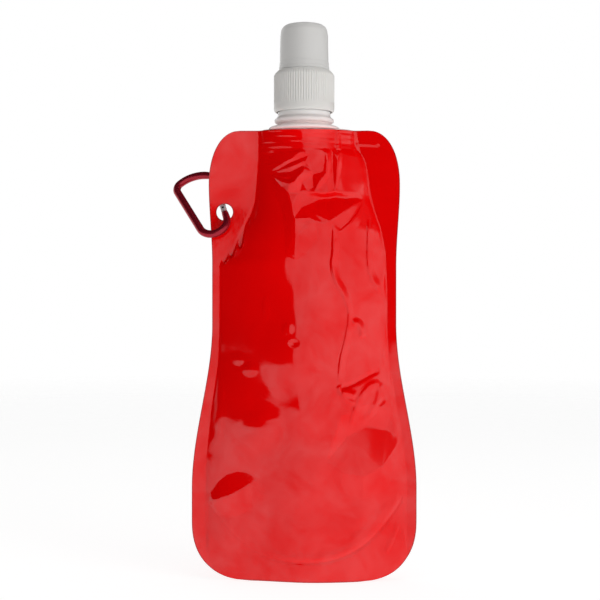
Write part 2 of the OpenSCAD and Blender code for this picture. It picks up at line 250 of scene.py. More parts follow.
def put(nt, node, values):
    """Fills a node's inputs, by name or place: a value is set, another node's output is linked."""
    for name, value in values.items():
        if isinstance(value, bpy.types.NodeSocket):
            nt.links.new(value, node.inputs[name])
        else:
            node.inputs[name].default_value = value


def object_coord(nt):
    for n in nt.nodes:
        if n.type == "TEX_COORD":
            return n.outputs["Object"]
    return nt.nodes.new("ShaderNodeTexCoord").outputs["Object"]


def noise_node(nt, scale, detail, rough=0.55, distortion=0):
    n = nt.nodes.new("ShaderNodeTexNoise")
    put(nt, n, {"Scale": scale, "Detail": detail, "Roughness": rough, "Distortion": distortion,
                "Vector": object_coord(nt)})
    return n.outputs["Fac"]


def map_range(nt, value, a, b, c=0, d=1, kind="LINEAR"):
    """Turns a to b into c to d, and holds the ends."""
    n = nt.nodes.new("ShaderNodeMapRange")
    n.interpolation_type = kind
    put(nt, n, {"Value": value, "From Min": a, "From Max": b, "To Min": c, "To Max": d})
    return n.outputs["Result"]


def patchy(nt, scale, detail, low=0, high=1):
    """A value that drifts between low and high over the surface."""
    return map_range(nt, noise_node(nt, scale, detail), 0.3, 0.7, low, high)


def maths(nt, operation, *values):
    n = nt.nodes.new("ShaderNodeMath")
    n.operation = operation
    put(nt, n, dict(enumerate(values)))
    return n.outputs[0]


def mix_colour(nt, fac, a, b):
    n = nt.nodes.new("ShaderNodeMix")
    n.data_type = "RGBA"
    colours = [s for s in n.inputs if s.type == "RGBA"]
    for s, c in zip(colours, (a, b)):
        if isinstance(c, tuple):
            s.default_value = (*c, 1)
        else:
            nt.links.new(c, s)
    nt.links.new(fac, n.inputs["Factor"])
    return [s for s in n.outputs if s.type == "RGBA"][0]


def bump(nt, bs, height, strength, distance, under=None):
    """Adds relief to a shader, over the relief that is already under it."""
    b = nt.nodes.new("ShaderNodeBump")
    put(nt, b, {"Strength": strength, "Distance": distance, "Height": height})
    if under is not None:
        nt.links.new(under, b.inputs["Normal"])
    nt.links.new(b.outputs[0], bs.inputs["Normal"])
    return b.outputs[0]


def film_material():
    """Glossy film with a faint haze, darker along its cut edges."""
    m, nt, bs = node_material("film_gloss")
    colour = mix_colour(nt, patchy(nt, 22, 2), (0.84, 0.0006, 0.001), (0.9, 0.0008, 0.0014))
    edge = nt.nodes.new("ShaderNodeAttribute")
    edge.attribute_name = "edge"
    haze = noise_node(nt, 52, 6, 0.62, distortion=0.6)
    put(nt, bs, {"Base Color": mix_colour(nt, edge.outputs["Fac"], colour, (0.3, 0.02, 0.02)),
                 "Roughness": map_range(nt, noise_node(nt, 60, 4), 0.25, 0.75, 0.035, 0.085),
                 "Specular IOR Level": map_range(nt, haze, 0.34, 0.66, 0.28, 0.72),
                 "IOR": 1.48})
    soft = bump(nt, bs, noise_node(nt, 110, 3), 0.09, 0.0006)
    bump(nt, bs, noise_node(nt, 900, 2), 0.05, 0.0001, soft)
    return m


def plastic(name, a, b, rough, grain=1400, translucency=0, strength=0.12):
    """Moulded plastic that drifts between two colours, with a fine grain."""
    m, nt, bs = node_material(name)
    put(nt, bs, {"Base Color": mix_colour(nt, patchy(nt, 45, 3), a, b),
                 "Roughness": patchy(nt, 160, 3, rough - 0.03, rough + 0.03),
                 "IOR": 1.5})
    if translucency:
        put(nt, bs, {"Subsurface Weight": translucency, "Subsurface Radius": (1, 0.9, 0.8),
                     "Subsurface Scale": 0.002})
    bump(nt, bs, noise_node(nt, grain, 2), strength, 0.0001)
    return m


def metal(name, a, b, rough, spread, metallic=1, coat=0):
    """Metal that drifts between two colours, and in roughness by spread either way."""
    m, nt, bs = node_material(name)
    put(nt, bs, {"Base Color": mix_colour(nt, patchy(nt, 120, 4), a, b), "Metallic": metallic,
                 "Roughness": patchy(nt, 300, 4, rough - spread, rough + spread)})
    if coat:
        put(nt, bs, {"Coat Weight": coat, "Coat Roughness": 0.05})
    bump(nt, bs, noise_node(nt, 500, 1), 0.01, 0.0001)
    return m


def cover_material():
    """Frosted clear plastic: part seen through, part milky."""
    m, nt, bs = node_material("frosted_cover")
    put(nt, bs, {"Base Color": mix_colour(nt, patchy(nt, 60, 3), (0.8, 0.79, 0.775), (0.82, 0.81, 0.795)),
                 "Roughness": patchy(nt, 200, 3, 0.3, 0.34), "IOR": 1.45, "Alpha": 0.74})
    bump(nt, bs, noise_node(nt, 1300, 2), 0.03, 0.0001)
    return m


def paint_film_bounce(material, low, high, colour):
    """Paints the red light that the film throws back onto a plastic into its colour: none at the height
    high, fully at low.
    """
    nt = material.node_tree
    bs = next(n for n in nt.nodes if n.type == "BSDF_PRINCIPLED")
    height = nt.nodes.new("ShaderNodeSeparateXYZ")
    nt.links.new(object_coord(nt), height.inputs[0])
    # painted bounce light: how much of the red reflected from the film is painted in at each height
    bounce_share = map_range(nt, height.outputs["Z"], high * MM, low * MM)
    was = bs.inputs["Base Color"].links[0].from_socket
    nt.links.new(mix_colour(nt, bounce_share, was, colour), bs.inputs["Base Color"])


film = film_material()
white_spout = plastic("spout_plastic", (0.88, 0.865, 0.85), (0.9, 0.885, 0.87), 0.42,
                      translucency=0.2, strength=0.05)
# painted red bounce light from the film, on the spout's lower part
paint_film_bounce(white_spout, H - 1, H + 9, (0.95, 0.76, 0.745))
white_cap = plastic("cap_plastic", (0.74, 0.725, 0.7), (0.76, 0.745, 0.72), 0.46,
                    translucency=0.2, strength=0.05)
white_nozzle = plastic("nozzle_plastic", (0.8, 0.8, 0.79), (0.85, 0.85, 0.84), 0.35, translucency=0.1)
foam = plastic("liner_foam", (0.8, 0.8, 0.8), (0.88, 0.88, 0.87), 0.8, grain=2600, strength=0.4)
frosted = cover_material()
red_metal = metal("anodised_red", (0.36, 0.01, 0.026), (0.4, 0.012, 0.03), 0.27, 0.01,
                  metallic=0.68, coat=0.15)
gate_metal = metal("gate_aluminium", (0.84, 0.84, 0.85), (0.88, 0.88, 0.89), 0.26, 0.015, metallic=0.6)
steel = metal("drawn_steel", (0.55, 0.55, 0.57), (0.66, 0.66, 0.68), 0.25, 0.08)


def paint(ob, material):
    ob.data.materials.clear()
    ob.data.materials.append(material)


def dress(ob, material, body, replaced):
    """Gives a piece its material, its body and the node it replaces."""
    paint(ob, material)
    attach(ob, body)
    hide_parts(replaced)


# ---------- the bag's shape ----------

SEAM = 4.8  # width of the side seams
HIP_W, WAIST_W, SHOULDER_W = 56.5, 46.25, 48  # half widths of the outline
BASE_CORNER = 30  # a lower corner's width and height
TOP_CORNER_W, TOP_CORNER_H = 16, 28
FOOT_H = 10  # the spout's welded foot: height inside the bag,
FOOT_W = 24.5  # half width with the film round it,
FOOT_RIBS = 3.5  # and number of ribs
HOLE_X, HOLE_Z, HOLE_R = -40, 184.5, 4.15  # punched hole
ARC_LOW, ARC_RISE, ARC_W = 10, 29.5, 48.4  # welded arc of the gusset: lowest point, rise, half width
ARC_POWER = 2.5


def corner_inset(t, power):
    """How far a rounded corner has drawn in, for t from 0 where it begins to 1 where it ends."""
    return 1 - (1 - t ** power) ** (1 / power)


def side_w(z):
    """Half width of the bag, its corners left square."""
    w = mix(HIP_W, WAIST_W, step(z, 46, 128))
    return w + (SHOULDER_W - WAIST_W) * step(z, 158, 198)


def outline_w(z):
    """Half width of the bag."""
    low = np.clip((BASE_CORNER - z) / BASE_CORNER, 0, 1)
    high = np.clip((z - (H - TOP_CORNER_H)) / TOP_CORNER_H, 0, 1)
    return side_w(z) - BASE_CORNER * corner_inset(low, 2.4) - TOP_CORNER_W * corner_inset(high, 2.2)


def soft_curve(points, z, soft):
    """Straight runs between (height, value) points with softened corners."""
    zs, vs = zip(*points)
    return sum(np.interp(z + d, zs, vs) for d in np.linspace(-soft, soft, 9)) / 9


# Where the seams end and the pocket begins: (height, distance from the middle)
LEFT_WELD = [
    (0, 49), (35, 49.8), (60, 49.2), (86, 46.4), (100, 44.2), (112, 42.8), (130, 42.3), (159, 42.3),
    (164, 38.6), (172, 33.6), (179, 29), (183, 26.6), (189, 24.6), (203, 23.3), (214, 22.7), (226, 22.7)]
RIGHT_WELD = [
    (146, 41.4), (164, 40.7), (176, 38.3), (184, 35.3), (191, 32.9), (200, 32.2), (208, 30.9), (213, 29.2),
    (216.5, 25.6), (226, 25.2)]


def weld_sides(z, soft=2):
    """Inner edges of the left and right seams. Low down, the right one is as wide as SEAM."""
    right = mix(side_w(z) - SEAM, soft_curve(RIGHT_WELD, z, soft), step(z, 128, 148))
    return soft_curve(LEFT_WELD, z, soft), right


# How far the middle of a panel stands out: (height, depth)
BELLY = [
    (-8, 9.6), (8, 11.6), (24, 13.9), (45, 16), (70, 17.6), (82, 18), (100, 18.1), (112, 17.85), (130, 17),
    (150, 15.9), (175, 14.3), (195, 12.8), (209, 11.9), (215, 11.7), (230, 11.7)]


def lens(x, half, rise):
    """Height of a circular arc over a chord of the given half width."""
    r = (half * half + rise * rise) / (2 * rise)
    return np.where(np.abs(x) < half, np.sqrt(np.maximum(r * r - x * x, 0)) - (r - rise), 0)


def base_depth(x, z):
    """The smooth pillow of a panel, flatter towards the lower left corner."""
    left, right = weld_sides(z)
    low = np.clip((82 - z) / 82, 0, 1) ** 1.1
    flatter = mix(0.58, 0.06, step(x, -34, 6))
    belly = soft_curve(BELLY, z, 7)
    return lens(x - (right - left) / 2, (right + left) / 2, belly) * (1 - flatter * low)


def arc_z(x):
    """Height of the gusset's welded arc."""
    return ARC_LOW + ARC_RISE * (np.abs(x) / ARC_W) ** ARC_POWER


def along(points, x, z):
    """Distance to a line through points, signed, and how far along it the nearest place is, from 0 to 1."""
    p = np.array(points, float)
    seg = np.linalg.norm(np.diff(p, axis=0), axis=1)
    total = seg.sum()
    best = np.full(x.shape, 1e9)
    sign = np.ones(x.shape)
    t_at = np.zeros(x.shape)
    run = 0.0
    for k in range(len(seg)):
        a, d = p[k], p[k + 1] - p[k]
        t = np.clip(((x - a[0]) * d[0] + (z - a[1]) * d[1]) / (seg[k] ** 2), 0, 1)
        qx, qz = x - a[0] - t * d[0], z - a[1] - t * d[1]
        dist = np.hypot(qx, qz)
        near = dist < best
        best = np.where(near, dist, best)
        sign = np.where(near, np.sign(d[0] * qz - d[1] * qx), sign)
        t_at = np.where(near, (run + t * seg[k]) / total, t_at)
        run += seg[k]
    return best * sign, t_at


def smooth_line(points, n=6):
    """A Catmull-Rom curve through the points."""
    p = [np.array(q, float) for q in points]
    p = [2 * p[0] - p[1]] + p + [2 * p[-1] - p[-2]]
    out = []
    for i in range(1, len(p) - 2):
        for k in range(n):
            t = k / n
            out.append(0.5 * (2 * p[i] + (p[i + 1] - p[i - 1]) * t
                              + (2 * p[i - 1] - 5 * p[i] + 4 * p[i + 1] - p[i + 2]) * t ** 2
                              + (3 * p[i] - p[i - 1] - 3 * p[i + 1] + p[i + 2]) * t ** 3))
    out.append(p[-2])
    return out


# Straight-sided folds under the spout: lines of (x, z, height above the smooth shape).
# Each line is a crest or a valley, and the film between two lines is flat.
FAN = (-16.8, 204.3, 0.15)
FRONT_FACETS = [
    # upper edge, where the film leaves the spout's foot
    [(x, 215.5, h) for x, h in [(-21, 0), (-14, 0), (-7, 0), (0, 0.25), (5, 0), (8.4, 0), (10.6, 0.4),
                                (12, 0), (13.8, -0.2), (17.3, 1), (19, 0.1), (24, 0)]] + [(28.5, 212, 0)],
    # fan of folds on the left
    [FAN, (-12, 207.2, 0.95), (-7, 209.8, 1.2), (-2.2, 213.6, 1), (0, 215.5, 0.25)],
    [FAN, (-12, 205.4, 0.25), (-7, 208.3, 0.4), (-1.8, 210.3, -0.1), (2.5, 212, 0)],
    [FAN, (-12, 204.6, 0.45), (-7, 206, 1.35), (-2, 208.1, 0.85), (0.3, 208.8, 0.4)],
    [FAN, (-12, 203.3, 0.1), (-7, 203.6, 0.35), (-2, 206, 0.05), (0.2, 206.7, 0)],
    [(-13.5, 202, 0.55), (-9.8, 201, 1.25), (-6.5, 201.1, 1.2)],
    [(-13.2, 201.3, 0.45), (-9.6, 200.1, 0.95), (-6.5, 200.2, 0.95)],
    [FAN, (-14.5, 201.6, 0.8), (-10.6, 198.9, 1.9), (-7.1, 198, 2.6), (-4.6, 199.1, 2.4),
     (-2.1, 202.2, 1.8), (-0.2, 205.6, 0.8)],
    # long fold running down from the fan
    [FAN, (-14.6, 200, 0.25), (-11.8, 196.8, 0.7), (-8.4, 193.5, 1.3), (-6.2, 187, 1.6),
     (-5, 180.5, 1.5), (-4.6, 172, 1.1), (-4.6, 163, 0.5)],
    [(-1.2, 198.5, 0.2), (-2.4, 193.5, -0.5), (-1.2, 186, -0.7), (1, 183, -0.3)],
    # small triangle and the curved fold beside it
    [(3.9, 204, -0.1), (4.3, 202.2, -0.4), (4.6, 196, -0.5)],
    [(10.6, 215.5, 0.4), (11.6, 209, 0.7), (11.2, 203.5, 0.85), (8.9, 200.2, 1.2), (7, 197.6, 1),
     (5.2, 195, 0.2)],
    [(8.4, 215.5, 0), (9.9, 209, 0.1), (9.3, 204, 0.15)],
    [(12.6, 214, 0), (12.8, 209, 0), (12.5, 203.5, 0), (11, 199, 0), (8.2, 195.9, -0.1)],
    # narrow V
    [(13.8, 215.5, -0.2), (13.8, 208.5, -0.45), (14.3, 202, -0.45), (15, 195.8, -0.1)],
    [(17.3, 215.5, 1), (17, 208.5, 1.25), (16.2, 202, 1.05), (15.3, 195.6, 0.3)],
    [(19, 215.5, 0.1), (18.6, 208.5, 0), (17.5, 202, 0), (16, 195.4, 0)],
    # sill and the hollow under it
    [(1.5, 194, 0), (4.6, 193.6, 0.2), (8.5, 193, 0.35), (12, 193.3, 0.35), (15.4, 194, 0.4),
     (20, 193.4, 0.35), (25.9, 193.4, 0.2), (30, 190.8, 0)],
    [(3.7, 191.6, -2), (8.5, 190.8, -3.1), (12, 191.1, -3.1), (15.4, 191.7, -2.7), (20, 191.1, -2),
     (25.9, 191.4, -0.9), (28.9, 189.8, -0.1)],
    [(3.7, 191.6, -2), (4.4, 188.5, -2), (3.6, 184, -0.7), (2.9, 180.8, 0.35)],
    [(2.9, 180.8, 0.35), (6, 179, 0.4), (9.9, 178, 0.45), (13, 179.2, 0.45), (15.9, 181.4, 0.45),
     (20, 184.4, 0.45), (23.4, 187, 0.3), (28.9, 189.8, -0.1)],
    # flap below it
    [(28.9, 189.8, -0.1), (25.2, 183, -0.15), (21.5, 178.6, -0.15), (17.8, 175.2, -0.1), (15, 177.8, 0)],
    [(29.8, 189, 0.1), (26.1, 182.4, 0.35), (22.3, 177.9, 0.4), (17.9, 174.2, 0.35), (14.2, 177, 0.2)],
    # leaf-shaped dent low on the left
    [(-49.5, 38.5, 0), (-46.8, 44.2, 0), (-43.2, 49.4, 0), (-38.5, 53.4, 0), (-33, 55.6, 0),
     (-27.5, 55, 0), (-22.5, 51.5, 0)],
    [(-49.5, 38.5, 0), (-46.5, 39.7, 1.5), (-41.8, 41.2, 1.9), (-37, 43, 2), (-31.5, 46, 1.7),
     (-27, 48.8, 1.1), (-22.5, 51.5, 0)],
    [(-49.5, 38.5, 0), (-43, 32.5, 0), (-35, 32, 0), (-26, 36, 0), (-18, 43, 0), (-22.5, 51.5, 0)],
    # hollow low on the right
    [(11, 61, 0), (21, 72.5, -3.4), (31, 77.5, -4.2), (41, 75.3, -2.9), (48.8, 70.5, 0)],
    [(11, 61, 0), (19, 55.5, 1), (29, 53, 1.4), (38.5, 57.5, 1.3), (48.8, 70.5, 0)],
    [(11, 61, 0), (18, 83, 0), (32, 89, 0), (44, 84, 0), (48.8, 70.5, 0)],
    [(11, 61, 0), (17, 46, 0), (29, 41.5, 0), (42, 46, 0), (48.8, 70.5, 0)],
    # where the folds die out
    [(-21, 215.5, 0), (-20, 208, 0), (-18.5, 203, 0), (-17, 198.5, 0), (-14, 193, 0), (-11.5, 186, 0),
     (-10, 176, 0), (-9.5, 163, 0), (-4.4, 160, 0), (1, 163, 0), (7, 171, 0), (13, 171, 0), (17.5, 171.5, 0),
     (24, 174.5, 0), (29, 180, 0), (32, 189, 0), (31.5, 200, 0), (28.5, 212, 0)],
]
REAR_FACETS = [
    [(-24, 215.5, 0), (-16.5, 215.5, 0.1), (-13, 215.5, 0.9), (-10.5, 215.5, 0), (-3, 215.5, 0),
     (4, 215.5, 0.2), (12, 215.5, 0), (20, 215.5, 0)],
    [(-16.5, 215.5, 0.1), (-15, 206, -0.3), (-11.5, 196, 0)],
    [(-13, 215.5, 0.9), (-12.5, 206, 1.1), (-11, 195.5, 0.2)],
    [(-10.5, 215.5, 0), (-10.4, 206, -0.1), (-10.4, 195.5, 0)],
    [(17, 203, 0.1), (9, 209, 1.1), (4, 215.5, 0.2)],
    [(17, 203, 0.1), (8, 206, 0.1), (0, 209, 0)],
    [(17, 203, 0.1), (9, 201, 1.6), (2, 205, 0.9)],
    [(17, 203, 0.1), (12, 196, 0.3), (6, 188, 1), (4, 176, 0.8), (5, 165, 0)],
    [(-26, 191, 0), (-18, 192, -1.2), (-8, 191, -1.9), (1, 192, -0.4)],
    [(-26, 193, 0.1), (-18, 194.5, 0.3), (-8, 193.5, 0.3), (1, 194, 0.1)],
    [(-26, 191, 0), (-17, 184, 0.3), (-8, 180, 0.4), (1, 192, -0.4)],
    [(-24, 215.5, 0), (-30, 203, 0), (-30, 190, 0), (-20, 176, 0), (-5, 170, 0), (5, 163, 0), (12, 170, 0),
     (14, 185, 0), (19, 198, 0), (20, 215.5, 0)],
]

# Creases: points (x, z), height, width on the left, width on the right.
# A line that runs down has its left at +x.
FRONT_CREASES = [
    # long thin lines on the right
    ([(14.6, 179), (14.3, 164), (13.6, 158), (15.4, 150), (19, 143.5), (21.7, 136), (22.1, 130), (20.4, 121),
      (17.9, 110.5), (16.8, 98)], 0.8, 3, 1.05),
    ([(16.8, 99), (17.4, 96.2), (19, 92.8), (22.5, 90.2), (25.6, 89)], 1, 2.8, 1.4),
    ([(32.2, 181), (31.8, 161), (33.3, 152), (36.5, 146.5), (39.3, 142)], 0.95, 3, 1.05),
    # dents beside them
    ([(23.6, 129), (26.6, 128.6), (28.4, 125.5), (29, 121.5)], 1.3, 2.6, 1.9),
    ([(17.5, 96.2), (25, 99), (31, 102), (37.8, 105.2)], -0.9, 2.4, 1.2),
    ([(18.5, 95.4), (22, 94.2), (25.6, 93)], 1.2, 2.6, 2.2),
    ([(38.3, 99.2), (32.5, 98), (27.5, 92), (24.6, 85), (22.8, 77.5)], 0.85, 3.2, 1.6),
    ([(38.4, 99.2), (37.5, 94.2), (35.4, 87.8), (29, 79.5)], 0.7, 2.6, 2.2),
    ([(40.4, 116), (40, 112), (40.8, 107)], 0.9, 1.4, 1.2),
    ([(40.3, 91), (38.6, 89), (36.4, 87.6)], -0.6, 1, 1.6),
    ([(42.2, 98), (43.4, 93), (44, 86)], 0.7, 1.5, 1.1),
    ([(43, 40), (33, 28), (22, 20)], 0.5, 4, 3),
    ([(47.6, 29.5), (44.6, 21.5), (40.5, 13.5)], 0.5, 1.2, 2.2),
]
REAR_CREASES = [
    ([(-15, 175), (-17, 150), (-12, 128), (-16, 104)], 0.45, 0.9, 3),
    ([(30, 120), (20, 112), (8, 110)], -0.7, 2, 2.4),
    ([(24, 100), (18, 92), (20, 80)], 0.6, 2.6, 1.2),
    ([(44, 60), (34, 50), (22, 44)], -0.9, 4, 4),
    ([(-40, 70), (-30, 62), (-18, 64)], 0.7, 5, 3),
    ([(-44, 42), (-34, 30), (-22, 22)], 0.5, 4, 3),
]
# Swells that the water left in the film: x, z, half width, half height, rise
FRONT_SWELLS = [
    (-6.5, 113, 17, 24, 1.3), (-1, 84, 13, 17, 0.9), (-20, 77, 12, 14, 0.8), (-33, 111, 5, 4, 0.35),
    (-27, 106, 5, 4, 0.5), (-43, 109, 3, 3, 0.3), (-5.2, 119, 3.4, 2.6, -0.5), (-8.5, 126, 4, 4, 0.4),
    (-19, 137, 2.4, 9, 0.2), (-27, 75, 15, 12, 0.55), (-24, 71, 11, 11, 0.45), (-46, 85, 8, 24, 1.2),
    (27, 94, 12, 9, 0.4), (0, 60, 26, 20, 0.6), (8, 35, 22, 12, -0.5), (-38, 24, 12, 12, 0.4),
    (30, 34, 12, 9, 0.45), (24, 140, 8, 14, 0.3), (4, 150, 9, 18, 0.25)]
REAR_SWELLS = [
    (22, 92, 14, 12, -0.9), (-24, 70, 14, 12, 0.7), (0, 45, 22, 14, -0.6), (12, 140, 9, 14, 0.4),
    (-20, 120, 10, 12, -0.5)]
# Tongues of flat film that run down beside the left seam, each to a point
TONGUES = [[(-27.4, 186), (-29.6, 180), (-31, 174), (-32.6, 165)],
           [(-29.8, 179), (-32.6, 174), (-34.8, 168), (-37.4, 160.8)],
           [(-35.2, 171), (-38, 165), (-41, 158.4)]]
# Creases too: one upright tuck at the spout's foot, and two short marks in the seams
FOOT_TUCK = ([(16.8, 227), (16.9, 221), (17.3, 214)], 1, 1.6, 1.9)
SEAM_MARKS = [([(25.5, 218.9), (31, 218.6), (38, 218)], 0.24, 1, 1.4),
              ([(49.8, 25), (50.4, 20), (51.4, 14)], 0.3, 0.8, 1.1)]


def ramp(s):
    """1 on a fold's line, falling evenly to 0 where it ends, with slightly eased corners."""
    s = np.clip(s, 0, 1)
    return np.clip(1 - (s * s * (3 - 2 * s) * 0.35 + s * 0.65), 0, 1)


def crease(points, h, left_w, right_w, x, z):
    """Height of a crease along a smooth line through the points, fading out at both ends."""
    lx, lz = [p[0] for p in points], [p[1] for p in points]
    far = max(left_w, right_w) + 0.5
    box = (x > min(lx) - far) & (x < max(lx) + far) & (z > min(lz) - far) & (z < max(lz) + far)
    out = np.zeros(x.shape)
    if not box.any():
        return out
    s, t = along(smooth_line(points), x[box], z[box])
    ends = np.clip(np.minimum(t, 1 - t) / 0.12, 0, 1)
    out[box] = h * ends * ramp(np.abs(s) / np.where(s > 0, left_w, right_w))
    return out


def facets(lines, x, z):
    """Height of the flat-sided folds: flat triangles between the lines, nothing outside."""
    tiny = 1e-6
    points, edges, heights = [], [], []
    for line in lines:
        for k, (px, pz, h) in enumerate(line):
            points.append(Vector((px, pz)))
            heights.append(h)
            if k:
                edges.append((len(points) - 2, len(points) - 1))
    co, _, triangles, origin, _, _ = delaunay_2d_cdt(points, edges, [], 0, 1e-4)
    co = np.array([tuple(c) for c in co])
    hv = np.array([sum(heights[k] for k in o) / len(o) if o else 0.0 for o in origin])
    out = np.zeros(x.shape)
    for tri in triangles:
        corners = co[tri]
        system = np.vstack([corners.T, np.ones(3)])
        if abs(np.linalg.det(system)) < 1e-9:
            continue
        low, high = corners.min(0) - tiny, corners.max(0) + tiny
        box = (x >= low[0]) & (x <= high[0]) & (z >= low[1]) & (z <= high[1])
        # each corner's share in a point: all three are positive inside the triangle
        share = np.linalg.solve(system, np.stack([x[box], z[box], np.ones(box.sum())]))
        out[box] = np.where((share > -tiny).all(0), hv[tri] @ share, out[box])
    return out


def soften(a, times):
    """Evens out a grid of heights a little."""
    for _ in range(times):
        b = np.pad(a, 1, mode="edge")
        a = (4 * a + b[:-2, 1:-1] + b[2:, 1:-1] + b[1:-1, :-2] + b[1:-1, 2:]) / 8
    return a


def waves(x, z, seed):
    """Low waves all over the film, calmer near the top and at the waist on the left."""
    calm = 1 - 0.75 * step(z, 168, 184)
    calm = calm * (1 - 0.55 * np.exp(-((x + 38) / 14) ** 2 - ((z - 96) / 24) ** 2))
    long_waves = 0.30 * Noise(seed, 9, 60, 22)(x, z * 0.6)
    short_waves = 0.045 * (1 - 0.5 * step(z, 80, 120)) * Noise(seed + 1, 9, 21, 8)(x, z * 0.8)
    return calm * (long_waves + short_waves)


def puckers(x, z, gap, seed):
    """Puckers that run in from the side seams, weaker along the waist on the left."""
    side = np.where(x < 0, 0, 300)
    rise = 0.22 - 0.16 * (x < 0) * step(z, 60, 80) * (1 - step(z, 150, 165))
    return rise * Noise(seed + 2, 8, 26, 9)(side, z) * np.exp(-gap / 5) * step(gap, 0, 2)


def gusset_weld(x, z):
    """The gusset's weld pressed into a panel: a groove and a soft ridge above it, fainter on the left."""
    slope = ARC_RISE * ARC_POWER / ARC_W * (np.abs(x) / ARC_W) ** (ARC_POWER - 1)
    s = (z - arc_z(x)) / np.sqrt(1 + slope ** 2)
    groove = 0.42 * np.exp(-(s / 0.85) ** 2) * (np.abs(x) < 49)
    ridge = 0.34 * np.exp(-((s - 2.6) / 1.7) ** 2) * (np.abs(x) < 47)
    return mix(0.25, 1, step(x, -24, 6)) * (ridge - groove)


def foot_marks(x, z, gap):
    """Ribs of the spout's foot pressed through the film, and the upright tuck."""
    zone = step(H - z, -0.1, 0.6) * step(z, H - FOOT_H - 0.8, H - FOOT_H) * step(gap, 0, 1)
    firm = 0.09 * (0.55 + 0.45 * np.sin(x * 0.37 + z * 0.9))
    ribs = firm * np.cos((H - z) / FOOT_H * 2 * math.pi * FOOT_RIBS)
    return zone * (ribs + crease(*FOOT_TUCK, x, z))


def film_depth(x, z, folds, creases, swells, tongues, seed):
    """Depth of a panel's inside in front of the middle plane, its wrinkles included."""
    left, right = weld_sides(z)
    gap = np.maximum((right + left) / 2 - np.abs(x - (right - left) / 2), 0)  # to the nearer seam
    inside = step(gap, 0, 6)
    free = 1 - step(z, H - FOOT_H - 2.5, H - FOOT_H + 0.2)  # nothing moves where the spout is welded in
    out = base_depth(x, z) + free * (step(gap, 0, 10) * waves(x, z, seed) + puckers(x, z, gap, seed))
    for sx, sz, w, h, rise in swells:
        r2 = ((x - sx) / w) ** 2 + ((z - sz) / h) ** 2
        out = out + rise * np.clip(1 - r2, 0, 1) ** 2 * inside
    fold = facets(folds, x, z) + sum(crease(*c, x, z) for c in creases)
    out = out + soften(fold * inside * free, 2) + gusset_weld(x, z) + foot_marks(x, z, gap)
    for points in tongues:
        out = out * (1 - step(crease(points, 1, 2, 2.6, x, z), 0.2, 0.65))
    return np.maximum(out, 0)


def wing_curl(x, z):
    """How far both films together lean forward outside the welds."""
    left, right = weld_sides(z, 16)
    welded = np.maximum(np.minimum(np.where(x < 0, left, right), outline_w(z)), 1)
    over = np.maximum(np.abs(x) - welded, 0)
    lean = np.where(x > 0, step(z, 100, 122) * 0.15, -0.012 * (x < 0))
    wave = Noise(31, 7, 70, 24)(np.where(x < 0, 0, 200), z) * 0.02
    return over * (lean + wave) + sum(crease(*mark, x, z) for mark in SEAM_MARKS)


def z_rows(n):
    """Heights of the rows, closer together at both ends."""
    t = np.linspace(0, 1, n)
    return H * (0.55 * t + 0.15 * (0.5 - 0.5 * np.cos(np.pi * t)) + 0.30 * np.sin(np.pi * t / 2))


def edge_shade(x, z):
    """1 at a cut edge of the film, its hole included, and 0 away from it."""
    to_edge = np.minimum(outline_w(np.clip(z, 0, H)) - np.abs(x), np.minimum(z, H - z))
    to_edge = np.minimum(to_edge, np.abs(np.hypot(x - HOLE_X, z - HOLE_Z) - HOLE_R))
    return np.clip(1 - to_edge / 0.8, 0, 1) ** 1.2 * 0.85


def build_film(name, side, folds, creases, swells, tongues, seed, columns, rows):
    """A panel. side is -1 for the front one and 1 for the rear one."""
    z = z_rows(rows)
    u = np.linspace(-1, 1, columns)
    u = np.sign(u) * (1 - (1 - np.abs(u)) ** 1.12)  # more columns where the seams are
    X = outline_w(z)[:, None] * u[None, :]
    Z = np.repeat(z[:, None], columns, 1)
    depth = film_depth(X, Z, folds, creases, swells, tongues, seed)
    curl = wing_curl(X, Z)
    dip = 0.045 * depth * step(Z, H - 9, H)  # the upper edge goes round the spout
    outer, inner = (np.stack([X + AX, side * (depth + t) - curl, Z - dip], -1) for t in (WALL, 0.02))
    ob = sheet(name, outer, inner)
    bore(ob, HOLE_R, 20, (AX + HOLE_X, 0, HOLE_Z), (math.pi / 2, 0, 0))
    co = np.array([p.co for p in ob.data.vertices]) / MM
    attribute(ob, "edge", edge_shade(co[:, 0] - AX, co[:, 2]))
    paint(ob, film)
    ob.data.set_sharp_from_angle(angle=math.radians(60))
    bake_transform(ob)
    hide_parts(name + "_upper", name + "_lower")


def gusset_section(x, inset):
    """The gusset from its front weld, over its arch, to its rear weld, at one x."""
    weld_z = arc_z(x)
    corner = corner_inset(np.clip((np.abs(x) - (HIP_W - BASE_CORNER)) / BASE_CORNER, 0, 1), 2.4)
    low = min(BASE_CORNER * corner + 0.3, weld_z - 0.5)
    legs = np.linspace(low, weld_z, 7)[:-1]

    def depth(z):
        return max(float(base_depth(np.array(x), np.array(float(z)))) - 1.2 - inset, 0.25 - 0.5 * inset)

    arch = []
    rise = 3 + 13 * max(0, 1 - (x / 49.5) ** 2)
    for a in np.linspace(0, math.pi, 31):
        up = math.sin(a)
        sway = 0.5 * math.sin(x * 0.31 + 1.3) * up ** 2 + 0.35 * math.sin(x * 0.17 - 2 * a) * up
        arch.append((AX + x, -depth(weld_z) * math.cos(a), weld_z + (rise - inset) * up + sway))
    return [(AX + x, -depth(z), z) for z in legs] + arch + [(AX + x, depth(z), z) for z in legs[::-1]]


def build_gusset():
    xs = np.linspace(-47.6, 48.6, 90)
    upper, lower = (np.array([gusset_section(x, inset) for x in xs]) for inset in (0, WALL))
    ob = sheet("gusset_film", upper, lower)
    attribute(ob, "edge", np.zeros(len(ob.data.vertices)))
    dress(ob, film, "bag_lower", "bottom_gusset")


build_film("front_film", -1, FRONT_FACETS, FRONT_CREASES, FRONT_SWELLS, TONGUES, 11, 280, 500)
build_film("rear_film", 1, REAR_FACETS, REAR_CREASES, REAR_SWELLS, [], 23, 130, 250)
build_gusset()


# ---------- spout ----------

